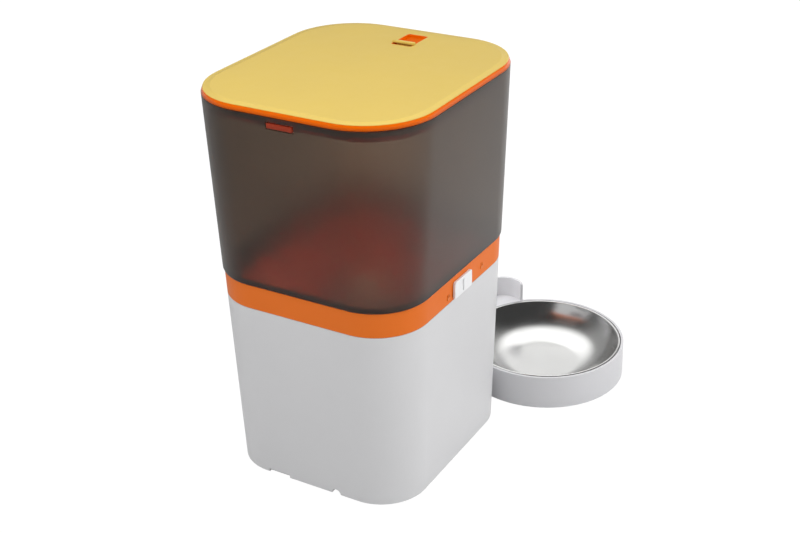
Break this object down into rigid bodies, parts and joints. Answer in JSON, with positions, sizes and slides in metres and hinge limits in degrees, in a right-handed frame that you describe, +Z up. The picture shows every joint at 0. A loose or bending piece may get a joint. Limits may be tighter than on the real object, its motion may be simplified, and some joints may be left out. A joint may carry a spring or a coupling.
{
  "type": "camera pet feeder",
  "caption": "Automatic dry-food feeder with smoked lift-off tank, yellow latched lid, orange band, white base with camera and chute, and a separate steel bowl on a stand.",
  "frame": {"origin": "centre of the base on the floor", "axes": "+Z up, -Y to the front with camera and food outlet, +X to the side away from the bowl"},
  "size_m": [0.2811, 0.3844, 0.3623],
  "materials": {
    "white_shell": "satin white ABS",
    "stand_white": "satin white ABS",
    "band_orange": "satin orange ABS",
    "lid_orange": "gloss orange ABS",
    "lid_yellow": "satin yellow ABS",
    "smoked_tank": "clear smoked plastic, gloss",
    "funnel_orange": "satin orange plastic",
    "inner_grey": "fine texture",
    "black_plastic": "fine texture",
    "black_gloss": "piano black",
    "clear_lens": "polished",
    "rubber_dark": "matte",
    "rubber_light": "matte silicone",
    "steel": "satin stainless",
    "screw_steel": "zinc plated",
    "brass": "sintered",
    "gear_plastic": "natural acetal",
    "motor_metal": "plated",
    "board_green": "solder mask",
    "chip_black": "moulded epoxy",
    "cell_wrap": "plain wrap",
    "desiccant_white": "paper bag",
    "led_clear": "moulded"
  },
  "bodies": {
    "base": {"base_shell": "white_shell", "base_plate": "inner_grey", "foot_ring": "rubber_dark", "base_screws": "screw_steel", "rotor_well": "inner_grey", "chute": "inner_grey", "outlet_alcove": "white_shell", "gearbox_case": "black_plastic", "shaft_bush": "brass", "motor": "motor_metal", "camera_window": "black_gloss", "camera_frame": "black_plastic", "lens_barrel": "black_plastic", "lens_glass": "clear_lens", "infrared_lights": "led_clear", "status_light": "led_clear", "front_board": "board_green", "button_switch": "chip_black", "speaker": "black_plastic", "battery_box": "inner_grey", "battery_cells": "cell_wrap", "battery_contacts": "screw_steel", "battery_cover": "inner_grey", "main_board": "board_green", "board_chips": "chip_black", "power_socket": "black_plastic"},
    "drive": {"output_gear": "gear_plastic", "drive_shaft": "motor_metal", "drive_dog": "gear_plastic"},
    "pinion": {"motor_pinion": "gear_plastic", "motor_shaft": "motor_metal"},
    "button": {"feed_button": "white_shell"},
    "hopper": {"band": "band_orange", "funnel": "funnel_orange", "funnel_seal": "rubber_dark", "rotor_cup": "funnel_orange", "portion_guard": "funnel_orange", "tank": "smoked_tank"},
    "lock": {"tank_lock": "white_shell"},
    "rotor": {"rotor_hub": "gear_plastic", "rotor_vanes": "rubber_light", "agitator": "gear_plastic"},
    "lid": {"lid_rim": "lid_orange", "lid_plate": "lid_yellow", "lid_gasket": "rubber_dark", "latch_cover": "lid_orange", "latch_spring": "motor_metal", "desiccant_case": "lid_orange", "desiccant_cap": "lid_orange", "desiccant_bag": "desiccant_white"},
    "latch": {"latch_slider": "lid_yellow", "latch_grip": "lid_yellow"},
    "stand": {"bowl_stand": "stand_white", "stand_pad": "rubber_dark"},
    "bowl": {"steel_bowl": "steel"}
  },
  "joints": [
    {"name": "hopper_lift", "type": "slide", "parent": "base", "child": "hopper", "axis": [0, 0, 1], "range_m": [0, 0.12]},
    {"name": "rotor_spin", "type": "hinge", "parent": "hopper", "child": "rotor", "pos_m": [0, 0, 0.13], "axis": [0, 0, 1], "continuous": true},
    {"name": "drive_spin", "type": "hinge", "parent": "base", "child": "drive", "pos_m": [0, 0, 0.105], "axis": [0, 0, 1], "continuous": true},
    {"name": "pinion_spin", "type": "hinge", "parent": "base", "child": "pinion", "pos_m": [0, 0.0168, 0.105], "axis": [0, 0, 1], "continuous": true},
    {"name": "lid_hinge", "type": "hinge", "parent": "hopper", "child": "lid", "pos_m": [0, 0.11941, 0.3551], "axis": [-1, 0, 0], "range_deg": [0, 75]},
    {"name": "latch_slide", "type": "slide", "parent": "lid", "child": "latch", "axis": [0, 1, 0], "range_m": [0, 0.005], "stiffness_N_per_m": 300, "deforming": ["latch_spring"]},
    {"name": "lock_slide", "type": "slide", "parent": "hopper", "child": "lock", "axis": [0, -1, 0], "range_m": [0, 0.012]},
    {"name": "button_press", "type": "slide", "parent": "base", "child": "button", "axis": [0, 0.9995, 0.0321], "range_m": [0, 0.0008], "stiffness_N_per_m": 500},
    {"name": "stand_slide", "type": "slide", "parent": "base", "child": "stand", "axis": [0.9984, -0.0559, 0], "range_m": [0, 0.09475]},
    {"name": "bowl_lift", "type": "slide", "parent": "stand", "child": "bowl", "axis": [0, 0, 1], "range_m": [0, 0.08]}
  ],
  "couplings": [
    {"joint": "drive_spin", "follows": "rotor_spin", "ratio": 1},
    {"joint": "pinion_spin", "follows": "rotor_spin", "ratio": -3}
  ]
}
